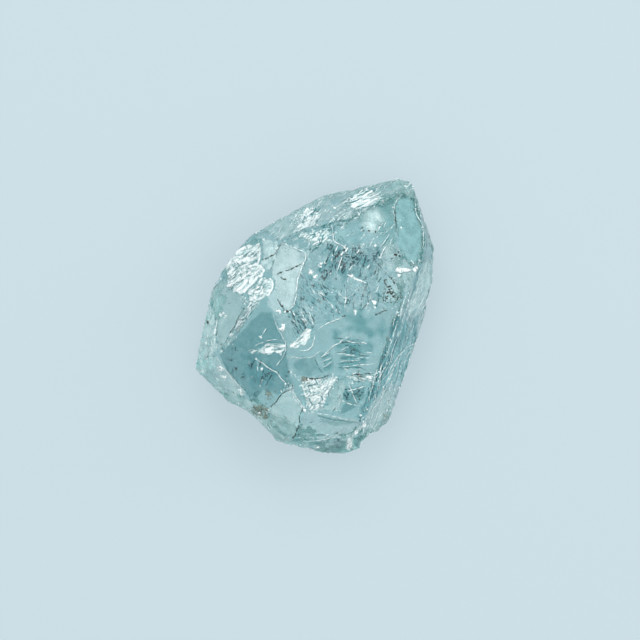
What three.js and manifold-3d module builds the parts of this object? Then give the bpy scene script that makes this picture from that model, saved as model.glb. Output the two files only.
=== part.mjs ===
// A loose, uncut piece of aquamarine: one solid, broken off a six-sided beryl crystal.
// It lies on a flat old fracture. X and Y run across the stone and +Z points up, in millimetres.
// The origin is the middle of the stone's outline, on the surface that it rests on.
//
// The stone is made the way it was broken: a block loses everything outside each flat break, and
// then a shallow bowl for each shell-shaped break. Its weight then sets its exact size.

import * as THREE from "three";
import { mergeVertices } from "three/addons/utils/BufferGeometryUtils.js";
import Module from "manifold-3d";

const wasm = await Module();
wasm.setup();

const weight = 24; // carats
const gramsPerCarat = 0.2;
const density = 0.00272; // aquamarine, grams per cubic millimetre

const blockSide = 30;
const blockHeight = 16;
const blockBelow = 1; // how far the block reaches under the resting face, for that break to cut
const cutterSide = 80;
const cutterDepth = 40;
const bowlFacet = 0.9; // length of a triangle's side on a shell-shaped break
const plainBallEdge = 1.1; // a plain icosahedron's edge, in radii and rounded up
const sameCorner = 1e-5; // corners nearer than this are one corner

// Each flat break is given by three points on it, anticlockwise when seen from outside the stone.
const flatBreaks = {
  // the upper side
  crownLower: [[-2.0, 0.4, 11.2], [-1.0, -4.5, 9.9], [5.8, -0.9, 9.25]],
  crownUpper: [[-2.0, 0.4, 11.2], [6.4, 0.8, 9.5], [3.6, 7.6, 8.35]],
  paleFacet: [[-2.0, 0.4, 11.2], [-0.7, 4.6, 9.9], [-2.8, 4.5, 9.84]],
  crackledFacet: [[-2.4, 5.4, 9.55], [-0.7, 4.6, 9.9], [1.4, 6.3, 9.09]],
  frostedFacet: [[-4.4, 0.6, 10.3], [-3.0, 4.3, 9.9], [-6.5, 2.9, 7.25]],
  hollowShoulder: [[-7.2, -2.8, 7.0], [-4.4, 0.6, 10.3], [-7.5, 2.3, 6.0]],
  deepWindow: [[-7.2, -2.8, 7.0], [-5.0, -5.7, 7.4], [-4.4, 0.6, 10.3]],
  greyFacet: [[-7.2, -2.8, 7.0], [-8.7, -4.1, 4.6], [-5.0, -5.7, 7.4]],
  smoothLowFacet: [[-1.85, -4.7, 9.98], [-3.8, -7.3, 7.64], [-0.8, -6.7, 8.37]],
  frostedBreak: [[-1.0, -4.4, 9.9], [1.1, -7.2, 7.6], [4.4, -4.2, 8.82]],
  lowBreak: [[-0.8, -6.7, 8.37], [-1.55, -9.05, 6.36], [3.3, -7.65, 6.8]],
  endBreak: [[-1.1, -8.85, 6.48], [0.5, -10.2, 3.9], [2.2, -8.75, 5.97]],
  paleChip: [[3.3, -7.65, 6.8], [2.4, -8.7, 6.0], [3.6, -9.5, 4.2]],
  prismFace: [[5.8, -0.9, 9.24], [4.74, -4.15, 8.76], [7.47, -1.95, 4.6]],
  prismFaceEnd: [[4.74, -4.15, 8.76], [3.3, -7.65, 6.8], [5.65, -7.3, 3.9]],
  shoulderLow: [[6.5, 1.15, 9.4], [8.3, 0.85, 5.0], [7.8, 3.9, 8.0]],
  shoulderHigh: [[7.8, 3.9, 8.0], [8.85, 5.5, 5.2], [8.15, 5.8, 7.26]],
  smoothRightFacet: [[5.6, 8.9, 7.65], [6.6, 3.0, 8.9], [8.1, 5.8, 7.26]],
  tipRight: [[8.15, 5.8, 7.26], [8.1, 7.3, 5.6], [7.5, 8.45, 6.8]],
  topBreak: [[-2.5, 5.5, 9.5], [5.0, 8.7, 7.8], [0.2, 8.85, 5.2]],
  // the underside
  restingFace: [[0, 0, 0], [0, 1, 0], [1, 0, 0]],
  underTip: [[6.55, 10.2, 6.1], [7.4, 9.0, 5.9], [4.6, 6.2, 0.4]],
  underTipRight: [[7.4, 9.0, 5.9], [8.1, 7.3, 5.6], [5.0, 5.5, 0.2]],
  underShoulder: [[8.1, 7.3, 5.6], [8.85, 5.5, 5.2], [5.4, 4.0, 0.0]],
  underRightTop: [[8.85, 5.5, 5.2], [8.75, 3.1, 5.2], [5.4, 3.0, 0.0]],
  underRight: [[8.3, 0.85, 5.0], [7.47, -1.95, 4.6], [5.3, -1.0, 0.0]],
  underRightLow: [[7.47, -1.95, 4.6], [5.65, -7.3, 3.9], [4.3, -4.0, 0.0]],
  underCorner: [[4.8, -8.35, 3.8], [3.35, -9.8, 4.2], [2.7, -6.3, 0.0]],
  underEnd: [[1.9, -10.2, 3.66], [0.4, -10.2, 3.95], [0.7, -7.0, 0.0]],
  underEndLeft: [[0.2, -10.2, 4.0], [-1.9, -9.75, 5.28], [-1.2, -6.7, 0.0]],
  underEndCorner: [[-1.2, -10.15, 6.1], [-2.9, -9.15, 6.1], [-2.7, -8.8, 2.7]],
  underLowLeft: [[-3.0, -9.1, 6.1], [-6.95, -5.8, 5.3], [-3.9, -4.7, 0.0]],
  underLowerLeft: [[-6.95, -5.75, 5.3], [-8.65, -4.1, 4.6], [-5.0, -3.4, 0.0]],
  underLeftLow: [[-8.8, -3.15, 4.9], [-8.05, 0.4, 5.5], [-5.6, -1.6, 0.0]],
  underLeft: [[-8.05, 0.4, 5.5], [-7.55, 2.3, 5.9], [-5.4, 0.6, 0.0]],
  underLeftTop: [[-7.55, 2.3, 5.9], [-6.35, 4.5, 6.65], [-4.8, 2.2, 0.0]],
  underFrosted: [[-6.35, 4.5, 6.65], [-5.2, 5.65, 7.2], [-4.2, 3.2, 0.0]],
  underTopLeft: [[-5.2, 5.65, 7.2], [-4.15, 6.6, 6.75], [-3.2, 3.9, 0.0]],
  underTop: [[-4.15, 6.6, 6.75], [0.2, 8.85, 5.2], [-0.6, 5.3, 0.0]],
  underTopRight: [[0.6, 9.1, 5.1], [5.2, 10.1, 5.6], [2.2, 6.3, 0.0]],
};

// Each shell-shaped break: a point in the middle of it, the way it faces, how wide and how deep.
const shellBreaks = {
  hollow: { middle: [-6.4, 0.1, 7.75], facing: [-0.8, 0.07, 0.6], width: 4.4, depth: 0.5 },
  topHollow: { middle: [3.45, 8.45, 7.45], facing: [-0.24, 0.83, 0.5], width: 2.9, depth: 0.45 },
  topLeftHollow: { middle: [-0.3, 7.3, 7.5], facing: [-0.24, 0.83, 0.5], width: 2.4, depth: 0.22 },
  lowLeftBite: { middle: [-4.7, -7.7, 5.6], facing: [-0.62, -0.78, 0.05], width: 4.8, depth: 0.5 },
  cornerBite: { middle: [4.0, -9.1, 4.0], facing: [0.7, -0.7, 0.1], width: 1.9, depth: 0.42 },
  underHollow: { middle: [6.6, -2.0, 2.6], facing: [0.85, -0.3, -0.45], width: 4.6, depth: 0.5 },
  underLeftHollow: { middle: [-6.3, -5.0, 2.2], facing: [-0.75, -0.5, -0.45], width: 3.6, depth: 0.35 },
};

const at = ([x, y, z]) => new THREE.Vector3(x, y, z);

// A closed three.js geometry as a manifold-3d solid.
function solidOf(geometry) {
  const points = geometry.clone();
  points.deleteAttribute("normal");
  points.deleteAttribute("uv");
  const merged = mergeVertices(points, sameCorner);
  const mesh = new wasm.Mesh({
    numProp: 3,
    vertProperties: new Float32Array(merged.attributes.position.array),
    triVerts: new Uint32Array(merged.index.array),
  });
  return new wasm.Manifold(mesh);
}

// The way out of the stone, square to the plane through three points.
function outwards(a, b, c) {
  return b.clone().sub(a).cross(c.clone().sub(a)).normalize();
}

// Everything beyond a flat break.
function flatCutter(points) {
  const [a, b, c] = points.map(at);
  const out = outwards(a, b, c);
  const box = new THREE.BoxGeometry(cutterSide, cutterSide, cutterDepth);
  box.translate(0, 0, cutterDepth / 2);
  box.applyQuaternion(new THREE.Quaternion().setFromUnitVectors(new THREE.Vector3(0, 0, 1), out));
  box.translate(a.x, a.y, a.z);
  return solidOf(box);
}

// The ball whose surface leaves a bowl of the given width and depth.
function bowlCutter({ middle, facing, width, depth }) {
  const radius = width ** 2 / (8 * depth) + depth / 2;
  const detail = Math.round((plainBallEdge * radius) / bowlFacet);
  const ball = new THREE.IcosahedronGeometry(radius, detail);
  const centre = at(middle).addScaledVector(at(facing).normalize(), radius - depth);
  return solidOf(ball.translate(centre.x, centre.y, centre.z));
}

function makeStone() {
  const block = new THREE.BoxGeometry(blockSide, blockSide, blockHeight);
  block.translate(0, 0, blockHeight / 2 - blockBelow);
  let stone = solidOf(block);
  for (const points of Object.values(flatBreaks)) stone = stone.subtract(flatCutter(points));
  for (const bowl of Object.values(shellBreaks)) stone = stone.subtract(bowlCutter(bowl));
  return stone;
}

function geometryOf(solid) {
  const { vertProperties, triVerts } = solid.getMesh();
  return new THREE.BufferGeometry()
    .setAttribute("position", new THREE.BufferAttribute(vertProperties, 3))
    .setIndex(new THREE.BufferAttribute(triVerts, 1));
}

// The sum of the pyramids from the origin to each triangle.
function volumeOf(geometry) {
  const position = geometry.attributes.position;
  const cornerAt = (i) => new THREE.Vector3().fromBufferAttribute(position, i);
  const corners = Array.from(geometry.index.array, cornerAt);
  let sum = 0;
  for (let i = 0; i < corners.length; i += 3) {
    sum += corners[i].dot(corners[i + 1].clone().cross(corners[i + 2])) / 6;
  }
  return sum;
}

// Brings the stone to its weight, and the middle of its outline to the origin.
function setToWeight(geometry) {
  const wanted = (weight * gramsPerCarat) / density;
  const scale = Math.cbrt(wanted / volumeOf(geometry));
  geometry.scale(scale, scale, scale);
  geometry.computeBoundingBox();
  const middle = geometry.boundingBox.getCenter(new THREE.Vector3());
  return geometry.translate(-middle.x, -middle.y, 0);
}

const crystal = new THREE.Mesh(
  setToWeight(geometryOf(makeStone())),
  new THREE.MeshStandardMaterial({ color: 0x93bcc0, roughness: 0.08, metalness: 0 }),
);
crystal.name = "crystal";

const group = new THREE.Group();
group.add(crystal);

export default group;
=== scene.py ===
# A loose piece of rough aquamarine, lying on a pale floor and seen from above.
from math import cos, hypot, pi, radians, sin
from random import Random

import bmesh
import bpy
import numpy as np
from mathutils import Matrix, Vector, noise
from mathutils.bvhtree import BVHTree
from mathutils.kdtree import KDTree


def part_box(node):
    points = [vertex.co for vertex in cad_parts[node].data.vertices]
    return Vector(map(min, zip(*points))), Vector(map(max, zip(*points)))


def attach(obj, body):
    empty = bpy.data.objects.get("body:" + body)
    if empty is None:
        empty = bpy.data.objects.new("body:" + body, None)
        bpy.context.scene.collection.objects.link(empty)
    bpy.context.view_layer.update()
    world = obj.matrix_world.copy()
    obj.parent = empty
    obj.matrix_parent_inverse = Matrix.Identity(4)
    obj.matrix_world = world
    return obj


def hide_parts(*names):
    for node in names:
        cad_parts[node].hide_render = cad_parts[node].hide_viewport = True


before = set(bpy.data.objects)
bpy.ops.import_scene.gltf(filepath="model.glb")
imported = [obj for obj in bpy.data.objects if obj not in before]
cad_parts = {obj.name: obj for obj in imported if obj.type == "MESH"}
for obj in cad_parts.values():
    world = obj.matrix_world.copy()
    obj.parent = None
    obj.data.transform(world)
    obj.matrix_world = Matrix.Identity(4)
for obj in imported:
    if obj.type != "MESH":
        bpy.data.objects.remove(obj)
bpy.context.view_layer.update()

mm = 0.001
boxLow, boxHigh = (Vector(corner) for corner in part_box("crystal"))


class Wire:
    # one output socket of a node; sums and products of wires become Math nodes
    def __init__(self, tree, socket=None):
        self.tree = tree
        self.socket = socket

    def add(self, kind, settings=None, inputs=None, out=0):
        node = self.tree.nodes.new(kind)
        for name, value in (settings or {}).items():
            if name == "stops":
                ramp = node.color_ramp
                while len(ramp.elements) < len(value):
                    ramp.elements.new(0.5)
                for element, (place, colour) in zip(ramp.elements, value):
                    element.position = place
                    element.color = (*colour, 1)
            else:
                setattr(node, name, value)
        for name, value in (inputs or {}).items():
            if isinstance(value, Wire):
                self.tree.links.new(value.socket, node.inputs[name])
            else:
                node.inputs[name].default_value = value
        return Wire(self.tree, node.outputs[out] if node.outputs else None)

    def other(self, name):
        # another output of the same node
        return Wire(self.tree, self.socket.node.outputs[name])

    def math(self, operation, *values):
        return self.add("ShaderNodeMath", {"operation": operation}, dict(enumerate(values)))

    def __add__(self, other):
        return self.math("ADD", self, other)

    def __radd__(self, other):
        return self.math("ADD", other, self)

    def __sub__(self, other):
        return self.math("SUBTRACT", self, other)

    def __rsub__(self, other):
        return self.math("SUBTRACT", other, self)

    def __mul__(self, other):
        return self.math("MULTIPLY", self, other)

    def __rmul__(self, other):
        return self.math("MULTIPLY", other, self)


def newMaterial(name):
    material = bpy.data.materials.new(name)
    material.use_nodes = True
    material.node_tree.nodes.clear()
    return material, Wire(material.node_tree)


def objectPoint(wire, turn=(0, 0, 0), stretch=(1, 1, 1)):
    # Object coordinates in mm, turned and stretched
    point = wire.add("ShaderNodeTexCoord", out="Object")
    size = tuple(1 / mm * s for s in stretch)
    return wire.add("ShaderNodeMapping", {}, {"Vector": point, "Rotation": turn, "Scale": size})


def noisePattern(wire, point, scale=1.0, detail=3.0, roughness=0.5, distortion=0.0):
    # cloudy noise of 0 to 1, with a scale in clouds per mm
    values = {"Vector": point, "Scale": scale, "Detail": detail}
    values |= {"Roughness": roughness, "Distortion": distortion}
    return wire.add("ShaderNodeTexNoise", {}, values)


def ramp(wire, value, low, high):
    # 0 below low, 1 above high, smooth between
    values = {"Value": value, "From Min": low, "From Max": high}
    return wire.add("ShaderNodeMapRange", {"interpolation_type": "SMOOTHSTEP"}, values)


def blend(wire, factor, first, second, kind="MIX"):
    # two colours mixed; a colour is a tuple or a wire
    first, second = ((*c, 1) if isinstance(c, tuple) else c for c in (first, second))
    settings = {"data_type": "RGBA", "blend_type": kind}
    return wire.add("ShaderNodeMix", settings, {0: factor, 6: first, 7: second}, out=2)


# places on the stone, in mm, as seen from above
outlines = {
    # frosted and feathered patches
    "frostedLobe": [(-4.1, 5.7), (-3.9, 5.2), (-3.9, 4.5), (-4.1, 3.9), (-3.7, 3.65), (-3.65, 3.35),
        (-4.0, 2.9), (-4.6, 2.3), (-5.0, 1.9), (-5.4, 1.65), (-6.0, 1.9), (-6.4, 2.3), (-6.55, 2.7),
        (-6.5, 3.1), (-6.6, 3.9), (-6.25, 4.4), (-5.7, 5.0), (-5.0, 5.4), (-4.4, 5.3)],
    "smallLobe": [(-3.7, 2.95), (-3.2, 2.9), (-3.0, 2.5), (-3.0, 2.05), (-3.3, 1.6), (-3.75, 1.35),
        (-4.4, 1.0), (-4.8, 1.15), (-4.9, 1.65), (-5.0, 1.9), (-4.4, 2.4), (-4.0, 2.85)],
    "topLeftFrost": [(-1.6, 6.2), (-1.1, 7.0), (-1.0, 7.7), (-0.6, 8.15), (-0.1, 7.9), (0.45, 7.7),
        (0.3, 7.0), (0.0, 6.75), (-0.7, 6.5)],
    "crackle": [(-1.25, 6.0), (-0.6, 6.2), (0.1, 6.4), (1.3, 6.7), (1.2, 6.2), (1.1, 5.6), (0.3, 5.2),
        (-0.2, 5.0), (-0.3, 5.4), (-0.9, 5.8)],
    "topFrost": [(2.6, 8.65), (3.0, 9.1), (3.9, 9.5), (4.25, 9.4), (4.5, 9.2), (5.0, 8.95), (4.8, 8.65),
        (4.1, 8.2), (3.8, 7.9), (3.0, 7.8), (2.5, 8.3)],
    "lens": [(-4.95, -2.6), (-4.4, -2.3), (-3.8, -2.15), (-3.2, -1.9), (-2.6, -2.0), (-2.15, -1.9),
        (-2.2, -2.4), (-2.45, -2.75), (-2.85, -2.65), (-3.65, -2.75), (-4.7, -2.7)],
    "hook": [(-2.1, -1.8), (-1.55, -1.75), (-1.2, -1.55), (-0.95, -1.15), (-0.6, -0.8), (-0.25, -0.95),
        (-0.3, -1.5), (-0.65, -2.0), (-1.2, -2.3), (-1.9, -2.3)],
    "lowFrost": [(-1.1, -4.5), (0.45, -4.5), (1.5, -4.4), (1.7, -4.7), (1.05, -5.4), (0.8, -6.0),
        (0.65, -6.8), (-0.4, -7.0), (-0.6, -6.3), (-0.85, -5.3)],
    "lowFrostRight": [(2.4, -4.35), (4.4, -4.25), (4.2, -4.8), (3.7, -4.75), (3.5, -5.0), (2.7, -4.9)],
    "endChip": [(2.3, -9.8), (2.4, -9.0), (2.85, -8.5), (3.3, -8.2), (3.6, -7.7), (3.75, -8.1), (3.2, -8.6),
        (2.9, -9.0), (2.8, -9.6), (2.6, -9.9)],
    "bruisedRidge": [(-7.1, -2.7), (-6.8, -2.7), (-6.2, -1.9), (-5.5, -1.0), (-4.9, -0.1), (-4.3, 0.6),
        (-4.1, 1.0), (-4.7, 1.2), (-5.2, 0.4), (-5.7, -0.3), (-6.3, -1.4)],
    # clear faces and shaded areas
    "topSide": [(-4.3, 6.7), (-2.6, 5.6), (-1.3, 6.1), (0.1, 6.6), (1.5, 7.0), (2.4, 7.1), (3.9, 7.9),
        (5.0, 8.7), (6.6, 9.1), (7.4, 8.7), (7.6, 9.6), (6.6, 10.6), (4.3, 10.2), (1.9, 9.7), (0.2, 9.2),
        (-2.5, 8.0)],
    "topDark": [(1.0, 8.9), (2.0, 9.15), (2.05, 8.5), (1.5, 8.3), (1.1, 8.5)],
    "topShade": [(4.5, 9.5), (5.4, 9.65), (6.4, 9.7), (6.7, 9.5), (6.2, 9.0), (5.15, 8.9), (4.8, 9.25)],
    "topSmooth": [(-3.2, 7.2), (-3.0, 6.6), (-2.2, 5.9), (-1.7, 6.1), (-1.5, 6.7), (-2.2, 7.2)],
    "paleShoulder": [(-3.9, 5.8), (-2.6, 5.5), (-2.7, 4.9), (-3.0, 4.1), (-3.3, 3.3), (-3.6, 3.4),
        (-4.0, 3.9), (-3.8, 4.5)],
    "paleFacet": [(-2.5, 5.45), (-0.65, 4.6), (-0.85, 3.95), (-1.25, 2.7), (-1.4, 1.5), (-1.55, 0.85),
        (-2.0, 0.45), (-2.35, 0.75), (-2.85, 1.75), (-3.0, 2.9), (-3.3, 3.35), (-3.0, 4.1), (-2.7, 4.85)],
    "deepWindow": [(-7.1, -2.8), (-6.0, -1.75), (-5.0, -0.7), (-4.05, 0.35), (-3.2, 0.3), (-2.9, -0.25),
        (-2.45, -1.4), (-2.15, -1.9), (-2.1, -2.75), (-1.7, -4.9), (-2.2, -5.5), (-2.75, -5.8),
        (-3.4, -5.5), (-3.8, -5.4), (-4.4, -6.2), (-5.0, -5.8), (-5.35, -5.1), (-6.0, -4.5), (-6.7, -3.6)],
    "deepShade": [(-5.0, -3.1), (-3.9, -3.3), (-3.0, -4.2), (-3.1, -5.0), (-4.2, -5.1), (-5.0, -4.2)],
    "greyFacet": [(-7.15, -2.9), (-7.0, -3.45), (-6.25, -4.35), (-5.15, -5.6), (-5.2, -5.85), (-6.2, -5.9),
        (-7.0, -5.6), (-8.15, -4.8), (-9.1, -4.1), (-8.5, -3.2), (-7.5, -2.9)],
    "leftStrip": [(-8.6, 2.6), (-7.8, 2.5), (-7.7, 0.9), (-7.5, 0.5), (-7.4, -0.2), (-7.3, -1.2),
        (-7.2, -2.5), (-8.4, -3.4), (-9.2, -2.8), (-8.9, 0.5)],
    "hollow": [(-7.9, 2.2), (-6.7, 2.6), (-6.0, 1.8), (-5.3, 1.6), (-4.9, 1.1), (-5.3, 0.3), (-6.3, -1.4),
        (-7.1, -2.6), (-7.3, -1.2), (-7.4, -0.2), (-7.6, 0.7)],
    "smoothRight": [(5.9, 8.6), (6.6, 9.05), (7.35, 8.7), (7.5, 7.7), (7.95, 6.7), (8.05, 5.9), (7.95, 5.2),
        (7.85, 4.2), (7.2, 3.9), (6.5, 4.4), (5.9, 5.4), (6.0, 6.4), (5.85, 7.4)],
    "smoothDeep": [(6.9, 8.6), (7.4, 8.0), (7.9, 6.6), (7.9, 5.4), (7.2, 5.5), (7.0, 6.8)],
    "lowPale": [(-1.7, -5.0), (-1.6, -5.5), (-1.3, -5.95), (-0.8, -6.7), (-1.1, -7.1), (-1.15, -7.85),
        (-1.4, -8.6), (-1.6, -9.0), (-2.6, -8.45), (-3.35, -7.4), (-3.35, -6.8), (-2.75, -6.1),
        (-2.2, -5.5)],
    "lowMiddle": [(-0.8, -7.0), (3.2, -7.7), (3.4, -8.2), (2.3, -9.0), (0.6, -9.1), (-1.4, -9.1),
        (-1.0, -7.8)],
    "lowShade": [(0.2, -7.2), (1.4, -7.45), (3.1, -7.7), (3.1, -7.95), (1.6, -8.05), (0.6, -7.9)],
    "endShade": [(-0.9, -9.1), (0.6, -9.1), (1.4, -8.9), (2.3, -8.9), (2.3, -9.9), (1.8, -10.4),
        (0.2, -10.4), (-1.0, -10.0)],
    "sideFace": [(8.0, 4.2), (6.9, 1.4), (5.8, -0.2), (5.4, -1.5), (4.75, -3.7), (4.2, -5.1), (3.4, -7.1),
        (3.4, -8.2), (4.4, -9.2), (6.0, -7.4), (7.9, -1.8), (9.2, 3.0), (9.0, 4.2)],
    "sideDark": [(6.1, 0.2), (6.6, -0.2), (6.3, -1.5), (5.9, -2.6), (5.2, -4.4), (4.4, -6.2), (3.6, -7.5),
        (3.3, -7.4), (4.0, -5.6), (4.6, -4.2), (5.4, -1.6)],
    "sideDarkHigh": [(7.2, -0.3), (7.7, 0.1), (7.6, -1.4), (7.2, -1.6)],
    "sideHigh": [(8.0, 4.2), (7.4, 2.7), (6.9, 1.2), (6.6, 0.2), (7.2, -0.2), (8.0, 0.3), (8.9, 2.8),
        (9.0, 4.2)],
    "sideMiddle": [(6.4, 0.1), (7.0, -0.3), (7.6, -1.6), (7.3, -3.0), (6.6, -4.9), (5.6, -5.0), (4.9, -5.8),
        (4.3, -6.6), (5.3, -4.2), (6.1, -1.6)],
    "sidePale": [(3.9, -7.3), (4.9, -5.6), (5.6, -5.2), (6.3, -6.2), (5.8, -7.6), (4.6, -8.8), (3.8, -8.3)],
    "lowWindow": [(2.1, -5.6), (2.4, -5.25), (3.7, -5.1), (3.65, -6.0), (3.2, -6.35), (3.0, -6.7),
        (2.2, -7.15), (1.9, -7.1), (2.05, -6.55), (2.4, -6.3), (2.05, -6.0)],
    "lowGrey": [(1.05, -5.4), (1.7, -4.6), (2.2, -4.5), (2.4, -5.2), (2.0, -5.9), (1.9, -7.0), (0.7, -6.9),
        (0.8, -6.0)],
    "ribsLeft": [(0.4, -2.7), (1.1, -2.5), (1.3, -3.0), (1.3, -3.9), (0.7, -3.9)],
    "ribsRight": [(1.9, -1.6), (2.8, -1.4), (4.0, -1.9), (4.0, -3.0), (3.4, -3.9), (1.7, -4.0),
        (1.8, -2.8)],
    "crownShade": [(1.9, 0.1), (3.2, 0.2), (4.9, -0.8), (4.5, -1.7), (2.9, -1.4), (2.2, -0.6)],
    "leftShade": [(-1.1, -3.1), (-0.1, -3.0), (0.6, -4.1), (-1.0, -4.3), (-1.4, -3.6)],
    "darkBand": [(0.9, 5.4), (2.2, 5.1), (3.4, 5.1), (5.2, 5.3), (4.8, 3.9), (3.6, 3.6), (2.2, 3.2),
        (0.6, 2.7), (0.2, 3.6), (1.0, 4.4)],
    "specklePatch": [(5.2, 3.4), (5.9, 2.6), (6.4, 1.95), (6.3, 1.1), (4.95, 0.95)],
    "rain": [(-1.2, 3.2), (0.3, 2.8), (1.6, 2.0), (2.2, 1.1), (2.0, 0.2), (0.4, -0.7), (-0.5, -0.9),
        (-1.9, 0.3), (-1.5, 1.0)],
    "rainLow": [(-2.0, 0.2), (-0.4, 0.6), (0.2, -0.5), (-0.6, -1.0), (-1.5, -1.6)],
    "middle": [(2.3, 3.8), (4.9, 3.8), (5.0, 1.0), (4.2, 0.6), (2.4, 0.8), (1.8, 2.2)],
    "highBand": [(0.9, 5.5), (1.5, 6.9), (2.4, 7.0), (4.4, 8.2), (6.3, 9.0), (6.4, 5.3), (5.0, 5.1),
        (2.2, 5.2)],
    "rightShoulder": [(5.9, 5.6), (6.5, 4.4), (7.2, 3.9), (8.0, 4.3), (7.5, 2.8), (6.9, 1.3), (6.4, 1.0),
        (6.4, 1.95), (5.9, 2.6), (5.2, 3.4), (5.0, 5.2)],
    # the haze outline is a painted highlight, a soft white flare of the light
    "haze": [(3.1, 7.5), (3.9, 8.2), (5.1, 8.2), (5.3, 7.1), (4.7, 6.0), (3.9, 5.9), (3.2, 6.7)],
    "paleBars": [(2.2, 3.3), (3.9, 2.8), (4.0, 1.3), (3.2, 1.5), (2.4, 2.0)],
    "lowEdge": [(-5.3, -5.95), (-4.4, -6.3), (-3.5, -6.8), (-3.4, -7.4), (-2.6, -8.5), (-1.6, -9.1),
        (-1.1, -9.9), (-2.6, -9.6), (-3.6, -8.6), (-4.8, -7.8), (-6.4, -6.6), (-6.9, -5.7)],
}


def outlineDepth(points, outline):
    # how far each point lies inside an outline, in mm, and less than 0 outside
    x, y = points[:, 0], points[:, 1]
    nearest = np.full(len(x), np.inf)
    inside = np.zeros(len(x), bool)
    for (ax, ay), (bx, by) in zip(outline, outline[1:] + outline[:1]):
        dx, dy = bx - ax, by - ay
        along = np.clip(((x - ax) * dx + (y - ay) * dy) / (dx * dx + dy * dy), 0, 1)
        nearest = np.minimum(nearest, np.hypot(x - ax - along * dx, y - ay - along * dy))
        if dy:
            crosses = (ay > y) != (by > y)
            inside ^= crosses & (x < ax + (y - ay) * dx / dy)
    return np.where(inside, nearest, -nearest)


def smoothStep(value, low, high):
    t = np.clip((value - low) / (high - low), 0, 1)
    return t * t * (3 - 2 * t)


# the fine mesh of the stone, and how its broken surface departs from flat faces
stone = {
    "voxel": 0.115,  # mm, the fine mesh's spacing
    "sameCorner": 0.002,  # mm, corners nearer than this are one
    "sharp": 14,  # degrees, from which an edge counts as one
    "edgeStep": 0.06,  # mm between the points that mark an edge
    "flatFrom": 0.2,  # mm from an edge, from where the mesh is laid right on the flat break
    "waviness": 0.05,  # mm
    "waveNoise": 0.35,  # per mm
    "waveFade": 1.5,  # mm from an edge, where the waves are whole
    "chips": 0.18,  # mm, the deepest bite out of an edge
    "chipNoise": 1.5,  # per mm
    "chipShare": 0.1,  # the more, the more of an edge is bitten
    "chipReach": (0.05, 0.5),  # mm from an edge, where a bite starts to fade and where it ends
    "hackle": 0.035,  # mm, the roughness of a broken face
    "hackleNoise": 2.2,  # per mm
    "hackleBelow": 0.15,  # the underside's share of it
    "hackleCalm": 1.5,  # mm, how far around smoothRight the underside has less
    "stria": 0.018,  # mm, the ribs of the prism face
    "striaSpacing": 0.28,  # mm
    "striaWander": 0.12,  # mm
    "striaNoise": 0.5,  # per mm
    "crystalAxis": (-0.3, -0.95, 0.05),
    "prismFacing": (0.6, -0.1, 0.8),
    "crownTint": (0.62, 0.86, 0.86),  # of the upper side outside the regions below
    "crownFrom": (0.02, 0.12),  # how far up a face looks where the upper side starts and is whole
    "borderNoise": 1.6,  # per mm, the wandering of the regions' borders
    "restingBelow": -0.99,  # only the resting face looks down more than this
}
seeds = {"waves": 1.0, "hackle": 3.0, "borders": 4.0, "chips": 7.0, "stria": 9.0, "patches": 11.0}
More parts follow.
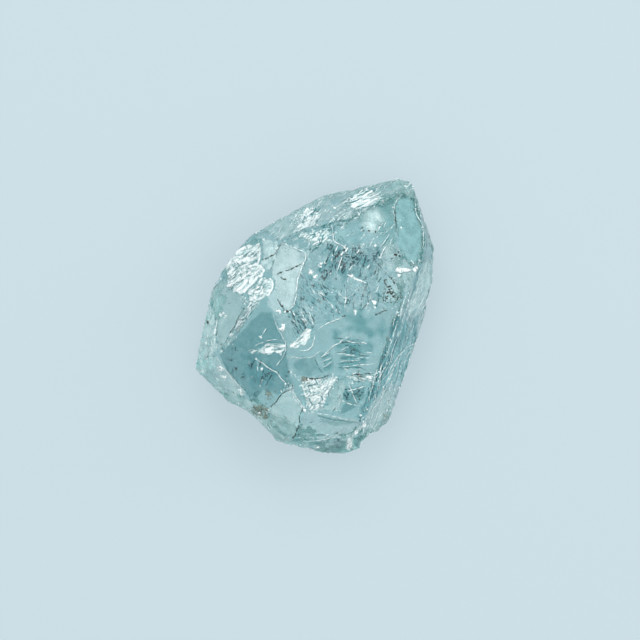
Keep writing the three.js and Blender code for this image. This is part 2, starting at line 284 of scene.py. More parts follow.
# each region's tint, frost, hackle and ribs, and how soft its border is, in mm. The tints are partly the
# stone's own uneven colour and partly painted shade and light: a clear face is tinted darker or left paler to
# how dark it looks in its light.
regions = {
    "topSide": ((1.0, 1.0, 1.0), 0.10, 0.9, 0.3, 0.08),
    "topDark": ((0.07, 0.36, 0.40), 0.0, 0.4, 0.0, 0.08),
    "topShade": ((0.55, 0.70, 0.74), 0.0, 0.2, 0.0, 0.08),
    "topSmooth": ((0.54, 0.68, 0.64), 0.0, 0.1, 0.0, 0.15),
    "highBand": ((0.80, 0.92, 0.92), 0.06, 0.6, 0.0, 0.3),
    "middle": ((0.70, 0.88, 0.90), 0.0, 1.0, 0.0, 0.4),
    "rain": ((0.60, 0.86, 0.88), 0.0, 0.6, 0.0, 0.4),
    "rainLow": ((0.70, 0.92, 0.93), 0.0, 0.4, 0.0, 0.3),
    "darkBand": ((0.40, 0.66, 0.68), 0.0, 1.1, 0.0, 0.45),
    # the haze region lies under the painted highlight of the haze veil
    "haze": ((1.0, 1.0, 1.0), 0.15, 0.4, 0.0, 0.5),
    "crownShade": ((0.17, 0.50, 0.51), 0.0, 0.3, 0.0, 0.7),
    "leftShade": ((0.24, 0.52, 0.53), 0.0, 0.3, 0.0, 0.25),
    "deepWindow": ((0.23, 0.46, 0.48), 0.0, 0.35, 0.0, 0.06),
    "deepShade": ((0.10, 0.32, 0.35), 0.0, 0.4, 0.0, 0.5),
    "leftStrip": ((1.0, 1.0, 1.0), 0.05, 0.9, 0.0, 0.08),
    "hollow": ((0.68, 0.80, 0.77), 0.0, 0.25, 0.0, 0.08),
    "greyFacet": ((0.88, 0.84, 0.82), 0.10, 0.5, 0.0, 0.06),
    "paleShoulder": ((1.0, 1.0, 1.0), 0.15, 0.2, 0.0, 0.06),
    "paleFacet": ((0.66, 0.70, 0.69), 0.20, 0.20, 0.0, 0.05),
    "rightShoulder": ((0.94, 1.0, 1.0), 0.05, 0.5, 0.0, 0.25),
    "smoothRight": ((1.0, 1.0, 1.0), 0.0, 0.05, 0.0, 0.12),
    "smoothDeep": ((0.66, 0.96, 1.0), 0.0, 0.05, 0.0, 0.5),
    "lowPale": ((0.92, 0.98, 0.95), 0.08, 0.15, 0.0, 0.06),
    "lowMiddle": ((0.90, 0.96, 0.94), 0.03, 0.2, 0.0, 0.08),
    "lowShade": ((0.44, 0.60, 0.58), 0.0, 0.2, 0.0, 0.06),
    "endShade": ((0.60, 0.75, 0.72), 0.0, 0.4, 0.0, 0.08),
    "lowEdge": ((0.90, 0.94, 0.90), 0.05, 0.4, 0.0, 0.08),
    "sideFace": ((1.0, 1.0, 1.0), 0.08, 0.2, 1.0, 0.08),
    "sideHigh": ((1.0, 1.0, 1.0), 0.08, 0.2, 1.0, 0.2),
    "sideMiddle": ((0.40, 0.80, 0.80), 0.0, 0.2, 1.0, 0.2),
    "sideDark": ((0.20, 0.60, 0.62), 0.0, 0.4, 1.0, 0.15),
    "sideDarkHigh": ((0.46, 0.76, 0.78), 0.0, 0.4, 1.0, 0.15),
    "sidePale": ((0.98, 0.97, 0.93), 0.12, 0.2, 0.5, 0.2),
    "lowGrey": ((0.72, 0.82, 0.78), 0.10, 0.4, 0.0, 0.1),
    "lowWindow": ((0.24, 0.48, 0.48), 0.0, 0.3, 0.0, 0.05),
    "ribsLeft": ((0.24, 0.55, 0.56), 0.0, 0.3, 0.0, 0.1),
    "ribsRight": ((0.11, 0.42, 0.44), 0.0, 0.3, 0.0, 0.4),
    "frostedLobe": ((1.0, 1.0, 1.0), 0.5, 0.9, 0.0, 0.05),
    "smallLobe": ((1.0, 1.0, 1.0), 0.5, 0.9, 0.0, 0.05),
    "topFrost": ((1.0, 1.0, 1.0), 0.4, 0.8, 0.0, 0.1),
    "topLeftFrost": ((1.0, 1.0, 1.0), 0.4, 0.8, 0.0, 0.1),
    "crackle": ((0.9, 0.95, 0.95), 0.3, 1.0, 0.0, 0.1),
    "lowFrost": ((1.0, 1.0, 1.0), 0.4, 1.0, 0.0, 0.08),
}


def cadMesh():
    # the CAD stone with its corners joined
    bm = bmesh.new()
    bm.from_mesh(bpy.data.objects["crystal"].data)
    bmesh.ops.remove_doubles(bm, verts=bm.verts, dist=stone["sameCorner"] * mm)
    bmesh.ops.recalc_face_normals(bm, faces=bm.faces)
    return bm


def fineMesh(bm):
    # the same shape in small even faces
    mesh = bpy.data.meshes.new("fine")
    bm.to_mesh(mesh)
    rough = bpy.data.objects.new("fine", mesh)
    bpy.context.collection.objects.link(rough)
    remesh = rough.modifiers.new("remesh", "REMESH")
    remesh.mode = "VOXEL"
    remesh.voxel_size = stone["voxel"] * mm
    depsgraph = bpy.context.evaluated_depsgraph_get()
    fine = bpy.data.meshes.new_from_object(rough.evaluated_get(depsgraph))
    bpy.data.objects.remove(rough)
    return fine


def edgeTree(bm):
    # points along every sharp edge, to tell how far a place is from one
    points = []
    for edge in bm.edges:
        if len(edge.link_faces) == 2 and edge.calc_face_angle() > radians(stone["sharp"]):
            a, b = (v.co for v in edge.verts)
            steps = max(1, round((b - a).length / (stone["edgeStep"] * mm)))
            points += [a.lerp(b, i / steps) for i in range(steps + 1)]
    tree = KDTree(len(points))
    for i, point in enumerate(points):
        tree.insert(point, i)
    tree.balance()
    return tree


def noiseAt(points, scale, shift, octaves=1):
    # smooth noise of about -1 to 1 at each point, scale in bumps per mm
    offset = Vector((shift, shift * 0.7, shift * 1.3))
    if octaves == 1:
        return np.array([noise.noise(Vector(p) * scale + offset) for p in points])
    return np.array([noise.fractal(Vector(p) * scale + offset, 1.0, 2.0, octaves) for p in points])


def meshPoints(bm):
    return np.array([v.co / mm for v in bm.verts])


def paintRegions(points, facing):
    # the tint, painted shade and light included, and the finish at each point of the stone's surface
    wobble = noiseAt(points, stone["borderNoise"], seeds["borders"])
    upper = smoothStep(facing, *stone["crownFrom"])
    tone = 1 - upper[:, None] * (1 - np.array(stone["crownTint"]))
    finish = np.zeros((len(points), 3))
    calm = smoothStep(outlineDepth(points, outlines["smoothRight"]), -stone["hackleCalm"], 0)
    finish[:, 1] = stone["hackleBelow"] * (1 - calm)
    for name, (tint, white, hackle, ribs, soft) in regions.items():
        weight = smoothStep(outlineDepth(points, outlines[name]) + wobble * soft * 2, -soft, soft)
        weight = (weight * upper)[:, None]
        tone = tone * (1 - weight) + np.array(tint) * weight
        finish = finish * (1 - weight) + np.array((white, hackle, ribs)) * weight
    print("stone: regions painted")
    return tone, finish


def biteDepths(points, away, finish):
    # how far inside the flat breaks the surface lies at each point, in mm
    wave = noiseAt(points, stone["waveNoise"], seeds["waves"]) * stone["waviness"]
    wave = wave * smoothStep(away, 0, stone["waveFade"])
    chipped = np.maximum(0, noiseAt(points, stone["chipNoise"], seeds["chips"], 3) + stone["chipShare"])
    bite = chipped * stone["chips"] * (1 - smoothStep(away, *stone["chipReach"]))
    hackle = noiseAt(points, stone["hackleNoise"], seeds["hackle"], 3) * stone["hackle"] * finish[:, 1]
    axis = Vector(stone["crystalAxis"]).normalized()
    across = axis.cross(Vector(stone["prismFacing"])).normalized()
    wander = stone["striaWander"] * noiseAt(points, stone["striaNoise"], seeds["stria"])
    ribPlace = points @ np.array(across) + wander
    ribs = np.abs(np.sin(ribPlace * pi / stone["striaSpacing"])) * stone["stria"] * finish[:, 2]
    return wave + bite + hackle + ribs


def makeStone():
    cad = cadMesh()
    surface = BVHTree.FromBMesh(cad)
    edges = edgeTree(cad)
    bm = bmesh.new()
    bm.from_mesh(fineMesh(cad))
    print("stone: fine mesh of", len(bm.verts), "points")
    away = np.array([edges.find(v.co)[2] for v in bm.verts]) / mm
    hits = [surface.find_nearest(v.co) for v in bm.verts]
    normals = np.array([hit[1] for hit in hits])
    points = meshPoints(bm)
    flat = away > stone["flatFrom"]
    points[flat] = np.array([hit[0] for hit in hits])[flat] / mm
    tone, finish = paintRegions(points, normals[:, 2])
    inwards = biteDepths(points, away, finish)
    inwards[normals[:, 2] < stone["restingBelow"]] = 0  # the stone rests on this face
    points -= normals * inwards[:, None]
    points = np.clip(points, np.array(boxLow) / mm, np.array(boxHigh) / mm)
    for vert, point in zip(bm.verts, points):
        vert.co = Vector(point) * mm
    bmesh.ops.recalc_face_normals(bm, faces=bm.faces)
    mesh = bpy.data.meshes.new("roughStone")
    bm.to_mesh(mesh)
    for name, values in (("tone", tone), ("finish", finish)):
        layer = mesh.attributes.new(name, "FLOAT_COLOR", "POINT")
        layer.data.foreach_set("color", np.hstack([values, np.ones((len(values), 1))]).ravel())
    mesh.shade_smooth()
    piece = bpy.data.objects.new("roughStone", mesh)
    bpy.context.collection.objects.link(piece)
    return piece, bm


# the crystal's own material
crystal = {
    "tint": (0.06, 0.60, 0.57),  # of the body, as light goes through
    "density": 36,  # per metre
    "ior": 1.577,
    "polish": 0.02,  # roughness of a clear face
    "frosting": 0.6,  # roughness that full frost adds
    "warpNoise": 0.9,  # per mm
    "warp": 0.8,  # mm
    "shardScales": (0.9, 2.6),  # per mm, the large and the small facets of a broken face
    "shardSlope": 0.5,
    "shardShift": 5.0,  # mm between the two patterns
    "grainNoise": 5.0,  # per mm
    "grain": 0.06,  # mm
    "ribHeight": 0.08,  # mm
    "ribTurn": radians(-17.5),
    "ribStretch": (3.2, 0.35, 1.2),
    "cloudNoise": 0.8,  # per mm
    "cloud": (0.40, 0.68, 0.70),  # the darkest clouds on a broken face
    "cloudFrom": (0.1, 0.5),  # hackle at which the clouds start and are whole
    # the streaks follow the ribs' bump and are darkest in its grooves, painted shade there
    "streak": (0.14, 0.42, 0.46),  # the darkest streaks on the prism face
    "contrast": (0.38, 0.60),  # the part of the noise that clouds and streaks use
}


def shards(w, point, scale, steepness, shift=0.0):
    # a mosaic of small flat faces, each tilted its own way; its height is in mm
    shifted = w.add("ShaderNodeVectorMath", {"operation": "ADD"}, {0: point, 1: (shift,) * 3})
    values = {"Vector": shifted, "Scale": scale, "Randomness": 1.0}
    cells = w.add("ShaderNodeTexVoronoi", {}, values, out="Color")
    middle = cells.other("Position")
    tilt = w.add("ShaderNodeVectorMath", {"operation": "SUBTRACT"}, {0: cells, 1: (0.5, 0.5, 0.5)})
    offset = w.add("ShaderNodeVectorMath", {"operation": "SUBTRACT"}, {0: shifted, 1: middle})
    height = w.add("ShaderNodeVectorMath", {"operation": "DOT_PRODUCT"}, {0: tilt, 1: offset}, out="Value")
    return height * steepness


def crystalMaterial():
    material, w = newMaterial("aquamarine")
    plain = (1.0, 1.0, 1.0)
    point = objectPoint(w)
    bent = w.add("ShaderNodeTexNoise", {}, {
        "Vector": point, "Scale": crystal["warpNoise"], "Detail": 2.0}, out="Color")
    warped = w.add("ShaderNodeVectorMath", {"operation": "MULTIPLY_ADD"}, {
        0: bent, 1: (crystal["warp"],) * 3, 2: point})
    # the tone attribute carries the region tints, painted shade and light among them
    tone = w.add("ShaderNodeAttribute", {"attribute_name": "tone"}, out="Color")
    finish = w.add("ShaderNodeAttribute", {"attribute_name": "finish"}, out="Color")
    frosting = w.add("ShaderNodeSeparateColor", {}, {"Color": finish})
    hackle = frosting.other("Green")
    ribs = frosting.other("Blue")
    large, small = crystal["shardScales"]
    slope = crystal["shardSlope"]
    mosaic = shards(w, warped, large, slope) + shards(w, warped, small, slope, crystal["shardShift"])
    grain = noisePattern(w, point, crystal["grainNoise"], detail=4, roughness=0.65) * crystal["grain"]
    long = noisePattern(w, objectPoint(w, (0, 0, crystal["ribTurn"]), crystal["ribStretch"]))
    bump = w.add("ShaderNodeBump", {}, {
        "Strength": 1.0, "Distance": mm,
        "Height": (mosaic + grain) * hackle + long * ribs * crystal["ribHeight"]})
    drift = noisePattern(w, warped, crystal["cloudNoise"], detail=5, roughness=0.6)
    cloud = blend(w, ramp(w, drift, *crystal["contrast"]), crystal["cloud"], plain)
    clouds = blend(w, ramp(w, hackle, *crystal["cloudFrom"]), plain, cloud)
    streak = blend(w, ramp(w, long, *crystal["contrast"]), crystal["streak"], plain)
    cloudy = blend(w, 1.0, tone, clouds, "MULTIPLY")
    shader = w.add("ShaderNodeBsdfPrincipled", {}, {
        "Base Color": blend(w, 1.0, cloudy, blend(w, ribs, plain, streak), "MULTIPLY"),
        "Roughness": frosting * crystal["frosting"] + crystal["polish"],
        "IOR": crystal["ior"], "Transmission Weight": 1.0, "Normal": bump})
    inside = w.add("ShaderNodeVolumeAbsorption", {}, {
        "Color": (*crystal["tint"], 1), "Density": crystal["density"]})
    w.add("ShaderNodeOutputMaterial", {}, {"Surface": shader, "Volume": inside})
    return material


# the frosted skin, where the surface is shattered white
frost = {
    "proud": 0.02,  # mm above the surface
    "thickness": 0.03,  # mm
    "ragged": 0.13,  # mm that the border wanders
    "raggedNoise": 2.2,  # per mm
    "relief": 0.07,  # mm, the height of the splinters
    "lowest": 0.4,  # share of the relief under every splinter
    "rim": 0.16,  # mm, the width of the rolled white border
    "rimSide": (0.85, -0.5),  # the side that the rolled border is on
    "rimFrom": (-0.3, 0.8),  # mm that way from the middle, where the rim starts and is whole
    "rimHeight": 0.6,  # share of the relief
    "thin": 0.45,  # how much less white the other borders are
    "mesh": 0.11,  # mm, the spacing before it is made finer
    "cuts": 2,
    "edgeRounds": 3,  # times that a border is smoothed
    "steepest": 0.08,  # how far up the steepest face looks that still has a coat
}
# each patch: which way its splinters run in degrees, their length and width in mm, how white, its rim, and
# how far from the border it thins out, in mm
frosted = {
    "frostedLobe": (38, 0.52, 0.14, 0.88, 1.0, 0.10),
    "smallLobe": (35, 0.42, 0.18, 0.80, 0.9, 0.12),
    "topLeftFrost": (52, 0.90, 0.15, 1.18, 0.0, 0.35),
    "crackle": (35, 0.60, 0.14, 0.78, 0.0, 0.35),
    "topFrost": (24, 1.40, 0.16, 1.18, 0.0, 0.45),
    "lens": (12, 0.60, 0.14, 0.76, 0.5, 0.10),
    "hook": (36, 0.70, 0.12, 0.98, 0.4, 0.12),
    "lowFrost": (50, 0.46, 0.17, 0.92, 0.0, 0.40),
    "lowFrostRight": (-35, 0.60, 0.14, 0.64, 0.0, 0.20),
    "endChip": (65, 0.50, 0.14, 1.00, 0.3, 0.15),
    "bruisedRidge": (52, 0.50, 0.12, 0.78, 0.0, 0.20),
}


def finishPiece(bm, name, material):
    for vert in bm.verts:  # nothing stands proud of the stone's own box
        vert.co = [min(high, max(low, value)) for value, low, high in zip(vert.co, boxLow, boxHigh)]
    mesh = bpy.data.meshes.new(name)
    bm.to_mesh(mesh)
    bm.free()
    mesh.shade_smooth()
    mesh.materials.append(material)
    made = bpy.data.objects.new(name, mesh)
    bpy.context.collection.objects.link(made)
    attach(made, "root")


def insideDepth(points, outline):
    # outlineDepth with a border that wanders
    wander = noiseAt(points, frost["raggedNoise"], seeds["patches"], 3)
    return outlineDepth(points, outline) + wander * frost["ragged"]


def keepFaces(bm, outline, margin):
    centres = np.array([f.calc_center_median() / mm for f in bm.faces])
    depth = insideDepth(centres, outline) + margin
    spare = [f for f, inside in zip(bm.faces, depth) if inside < 0 or f.normal.z < frost["steepest"]]
    bmesh.ops.delete(bm, geom=spare, context="FACES")


def smoothVerts(bm, verts):
    bmesh.ops.smooth_vert(bm, verts=verts, factor=0.5, use_axis_x=True, use_axis_y=True, use_axis_z=True)


# how a splinter's own slope, level, groove and grain set its height and its brightness; the brightness from
# the slope is painted light and shade on a tilted splinter, and the groove's is painted shade between
# splinters
splinters = {
    "bendNoise": 0.9,  # per mm
    "bend": (0.5, 1.2),  # along and across, in splinters
    "spread": 5.3,  # how unlike its neighbours a splinter is
    "groove": 0.16,  # in splinters, how wide
    "grainNoise": 5.0,  # per mm
    "levelHeight": 0.3,
    "levelShade": 0.65,
    "slopePaintedLight": 1.3,
    "groovePaintedShade": 0.45,
    "grainShade": 0.18,
}


def splinterAt(place, turn, length, width, seed):
    # the height and the brightness of the splinter that a place lies on
    look = splinters
    x, y = place.x * cos(turn) + place.y * sin(turn), place.y * cos(turn) - place.x * sin(turn)
    bend = noise.noise(place * look["bendNoise"] + Vector((seed, 0, 0)))
    cell = Vector((x / length + bend * look["bend"][0], y / width + bend * look["bend"][1], seed))
    gaps, middles = noise.voronoi(cell)
    own = middles[0] * look["spread"]
    offset = cell - middles[0]
    slope = offset.x * noise.noise(own + Vector((5, 0, 0))) + offset.y * noise.noise(own + Vector((0, 7, 0)))
    groove = 1 - min(1, (gaps[1] - gaps[0]) / look["groove"])
    fine = noise.fractal(place * look["grainNoise"], 0.9, 2.0, 3)
    level = noise.noise(own)
    shade = look["levelShade"] * level + look["slopePaintedLight"] * slope - look["groovePaintedShade"] * groove
    return slope + look["levelHeight"] * level, shade + look["grainShade"] * fine


def makeSkin(source, name, look):
    # a thin sheet that follows the stone's surface inside an outline, with the patch's own relief
    angle, length, width, white, rolled, thinning = look
    outline = outlines[name]
    bm = source.copy()
    keepFaces(bm, outline, 3 * frost["mesh"])  # three rows more, so that the cut border comes out even
    bmesh.ops.subdivide_edges(bm, edges=bm.edges, cuts=frost["cuts"], use_grid_fill=True)
    smoothVerts(bm, bm.verts)
    keepFaces(bm, outline, 0)
    edge = [v for v in bm.verts if v.is_boundary]
    for _ in range(frost["edgeRounds"]):
        smoothVerts(bm, edge)
    bm.normal_update()
    points = meshPoints(bm)
    inside = insideDepth(points, outline)
    sideways = (points - points.mean(axis=0))[:, :2] @ np.array(frost["rimSide"])
    rimmed = smoothStep(sideways, *frost["rimFrom"])
    shade = bm.verts.layers.float.new("shade")
    normals = [v.normal.copy() for v in bm.verts]
    for vert, point, depth, side, normal in zip(bm.verts, points, inside, rimmed, normals):
        height, light = splinterAt(Vector(point), radians(angle), length, width, len(name))
        border = rolled * side * max(0, 1 - abs(depth - frost["rim"] * 0.5) / frost["rim"])
        thin = max(0, 1 - depth / thinning) * frost["thin"] * (1 - border)
        vert[shade] = min(1, max(0, white + light - thin)) * (1 - border) + border
        lift = frost["relief"] * max(0, frost["lowest"] + height + border * frost["rimHeight"])
        vert.co += normal * (frost["proud"] + lift) * mm
    bmesh.ops.solidify(bm, geom=bm.faces, thickness=frost["thickness"] * mm)
    bmesh.ops.recalc_face_normals(bm, faces=bm.faces)
    return bm


def frostMaterial():
    material, w = newMaterial("frost")
    point = objectPoint(w)
    shade = w.add("ShaderNodeAttribute", {"attribute_name": "shade"}, out="Fac")
    hatching = objectPoint(w, (0, 0, radians(50)), (1.0, 3.5, 1.0))
    grain = noisePattern(w, point, scale=4.0, roughness=0.7) - 0.5
    hatch = noisePattern(w, hatching, scale=2.4, roughness=0.6, distortion=0.4) - 0.5
    # the shade attribute carries the splinters' painted light and shade, with their own random level
    level = shade + grain * 0.5 + hatch * 0.7
    colour = w.add("ShaderNodeValToRGB", {"stops": [
        (0.0, (0.10, 0.24, 0.25)), (0.25, (0.22, 0.42, 0.43)), (0.45, (0.36, 0.56, 0.57)),
        (0.68, (0.58, 0.71, 0.71)), (0.88, (0.80, 0.88, 0.88)), (1.0, (0.92, 0.96, 0.96))]}, {"Fac": level})
    bump = w.add("ShaderNodeBump", {}, {"Strength": 1.0, "Distance": mm, "Height": level * 0.10})
    shader = w.add("ShaderNodeBsdfPrincipled", {}, {
        "Base Color": colour, "Roughness": 0.3, "Alpha": ramp(w, level, 0.22, 0.42), "Normal": bump})
    w.add("ShaderNodeOutputMaterial", {}, {"Surface": shader})
    return material


# thin veils on the clear faces, lowest first: how dense each is, how soft its border in mm, and its kind. The
# pale veils whiten a face, partly painted reflection of the light and partly the face's own frosting; the
# teal veils darken a face as painted shade.
veils = {
    "topFrost": (0.60, 0.5, "pale"),
    "topSide": (0.22, 0.3, "pale"),
    "highBand": (0.30, 0.6, "teal"),
    "smoothRight": (0.55, 0.30, "teal"),
    "leftStrip": (0.38, 0.10, "pale"),
    "hollow": (0.15, 0.08, "pale"),
    "lowEdge": (0.22, 0.10, "pale"),
    "paleFacet": (0.25, 0.05, "pale"),
    "paleShoulder": (0.64, 0.05, "pale"),
    "paleBars": (0.10, 0.35, "pale"),
    "sidePale": (0.22, 0.4, "pale"),
    "sideHigh": (0.54, 0.35, "pale"),
    "rightShoulder": (0.13, 0.3, "pale"),
    "greyFacet": (0.22, 0.06, "pale"),
    "lowPale": (0.20, 0.06, "pale"),
    "lowGrey": (0.18, 0.2, "pale"),
    # the haze veil is a painted highlight, a soft white flare of the light
    "haze": (0.72, 1.0, "pale"),
    "specklePatch": (0.14, 0.2, "pale"),
}
veilColours = {  # the darkest and the palest of each kind
    "pale": ((0.42, 0.60, 0.61), (0.62, 0.78, 0.78)),
    "teal": ((0.22, 0.43, 0.45), (0.26, 0.48, 0.50)),
}
veilSheet = {
    "step": 0.003,  # mm from one veil up to the next
    "thickness": 0.0015,  # mm
    "cloudNoise": 1.6,  # per mm
    "cover": 0.75,  # share of the density that is even
    "clouds": 0.45,  # share that comes and goes
}


def makeVeil(source, name, dense, soft, height):
    bm = source.copy()
    keepFaces(bm, outlines[name], 0)
    bm.normal_update()
    cover = bm.verts.layers.float.new("cover")
    inside = insideDepth(meshPoints(bm), outlines[name])
    density = dense * smoothStep(inside, 0, soft)
    for vert, share, normal in zip(bm.verts, density, [v.normal.copy() for v in bm.verts]):
        vert[cover] = share
        vert.co += normal * height * mm
    bmesh.ops.solidify(bm, geom=bm.faces, thickness=veilSheet["thickness"] * mm)
    bmesh.ops.recalc_face_normals(bm, faces=bm.faces)
    return bm


def veilMaterial(kind, dark, light):
    material, w = newMaterial(kind + "Veil")
    cover = w.add("ShaderNodeAttribute", {"attribute_name": "cover"}, out="Fac")
    drift = noisePattern(w, objectPoint(w), veilSheet["cloudNoise"], detail=5, roughness=0.65)
    cloud = ramp(w, drift, 0.35, 0.65)
    shader = w.add("ShaderNodeBsdfPrincipled", {}, {
        "Base Color": blend(w, cloud, dark, light), "Roughness": 0.4,
        "Alpha": cover * (veilSheet["cover"] + veilSheet["clouds"] * cloud)})
    w.add("ShaderNodeOutputMaterial", {}, {"Surface": shader})
    return material


def makeFrost(source):
    coats = {kind: veilMaterial(kind, *colours) for kind, colours in veilColours.items()}
    for i, (name, (dense, soft, kind)) in enumerate(veils.items()):
        veil = makeVeil(source, name, dense, soft, veilSheet["step"] * (i + 1))
        finishPiece(veil, name + "Veil", coats[kind])
    print("veils:", len(veils))
    material = frostMaterial()
    for name, look in frosted.items():
        finishPiece(makeSkin(source, name, look), name, material)
    print("frost:", len(frosted), "patches")


def makeProbe(source):
    tree = BVHTree.FromBMesh(source)

    def surfaceAt(x, y):
        # the stone's upper surface under a place seen from above
        spot, normal, face, gap = tree.ray_cast(Vector((x, y, 30)) * mm, Vector((0, 0, -1)))
        return (spot, normal) if spot else (None, None)
    return surfaceAt


# a line is a thin tapered band
ribbon = {
    "spacing": 0.08,  # mm between its points
    "wander": 0.05,  # mm off its smooth line
    "wanderNoise": 3,  # per mm
    "thickness": 0.014,  # mm
    "ends": 0.12,  # share of the width that is left at its ends
    "taper": 0.6,  # the less, the blunter its ends
    "unsteady": 0.6,  # share of the width that comes and goes
    "unsteadyNoise": 2.5,  # per mm
    "steepest": 0.05,  # how far up the steepest face looks that still has one
}


def smoothLine(corners, spacing, wander, seed=0.0):
    # a gently curved and slightly unsteady line through the corners
    ends = [corners[0]] + list(corners) + [corners[-1]]
    line = []
    for p0, p1, p2, p3 in zip(ends, ends[1:], ends[2:], ends[3:]):
        steps = max(2, round(hypot(p2[0] - p1[0], p2[1] - p1[1]) / spacing))
        for i in range(steps):
            t = i / steps
            curve = [0.5 * (2 * b + (c - a) * t + (2 * a - 5 * b + 4 * c - d) * t * t
                            + (3 * b - a - 3 * c + d) * t ** 3) for a, b, c, d in zip(p0, p1, p2, p3)]
            line.append(curve)
    line.append(list(corners[-1]))
    scale = ribbon["wanderNoise"]
    for point in line:
        place = Vector((point[0] * scale, point[1] * scale, seed))
        point[0] += wander * noise.noise(place)
        point[1] += wander * noise.noise(place + Vector((9, 4, 2)))
    return line


def addRibbon(bm, surfaceAt, corners, width, height, seed):
    # a band that lies along the surface, height in mm above it
    line = smoothLine(corners, ribbon["spacing"], ribbon["wander"], seed)
    spots = [surfaceAt(x, y) for x, y in line]
    spots = [(spot, normal) for spot, normal in spots if spot and normal.z > ribbon["steepest"]]
    if len(spots) < 3:
        return
    strip = bmesh.new()
    tree = KDTree(len(spots))
    verts = []
    for i, (spot, normal) in enumerate(spots):
        verts.append(strip.verts.new(spot + normal * height * mm))
        tree.insert(verts[-1].co, i)
    tree.balance()
    edges = [strip.edges.new(pair) for pair in zip(verts, verts[1:])]
    bmesh.ops.extrude_edge_only(strip, edges=edges)
    for vert in strip.verts:
        i = tree.find(vert.co)[1]
        spot, normal = spots[i]
        before, after = spots[max(0, i - 1)][0], spots[min(len(spots) - 1, i + 1)][0]
        side = normal.cross(after - before).normalized()
        bulge = sin(pi * (i / (len(spots) - 1))) ** ribbon["taper"]
        share = ribbon["ends"] + (1 - ribbon["ends"]) * bulge
        place = spot / mm * ribbon["unsteadyNoise"] + Vector((0, 0, seed))
        share *= 1 + ribbon["unsteady"] * noise.noise(place)
        vert.co += side * width * share * mm * (0.5 if vert in verts else -0.5)
    bmesh.ops.recalc_face_normals(strip, faces=strip.faces)
    bmesh.ops.solidify(strip, geom=strip.faces, thickness=ribbon["thickness"] * mm)
    joinInto(bm, strip)


def joinInto(bm, part):
    bmesh.ops.recalc_face_normals(part, faces=part.faces)
    mesh = bpy.data.meshes.new("part")
    part.to_mesh(mesh)
    part.free()
    bm.from_mesh(mesh)
    bpy.data.meshes.remove(mesh)


flake = {"flatness": 0.25, "narrow": (0.4, 0.9), "uneven": (-0.35, 0.25)}  # shares of its size


def addFlake(bm, draw, place, normal, size):
    # a small angular grain, flat to the surface
    turn = normal.to_track_quat("Z", "Y").to_matrix().to_4x4()
    spin = Matrix.Rotation(draw.uniform(0, 2 * pi), 4, "Z")
    narrow = draw.uniform(*flake["narrow"])
    shape = Matrix.Diagonal((size * mm, size * mm * narrow, size * mm * flake["flatness"], 1))
    matrix = Matrix.Translation(place) @ turn @ spin @ shape
    made = bmesh.ops.create_icosphere(bm, subdivisions=1, radius=1, matrix=matrix)["verts"]
    for vert in made:
        vert.co += (vert.co - place) * draw.uniform(*flake["uneven"])


def isInside(place, outline):
    return outlineDepth(np.array([place]), outline)[0] > 0


def randomInside(draw, outline):
    # a random place inside an outline
    xs, ys = zip(*outline)
    while True:
        place = (draw.uniform(min(xs), max(xs)), draw.uniform(min(ys), max(ys)))
        if isInside(place, outline):
            return place
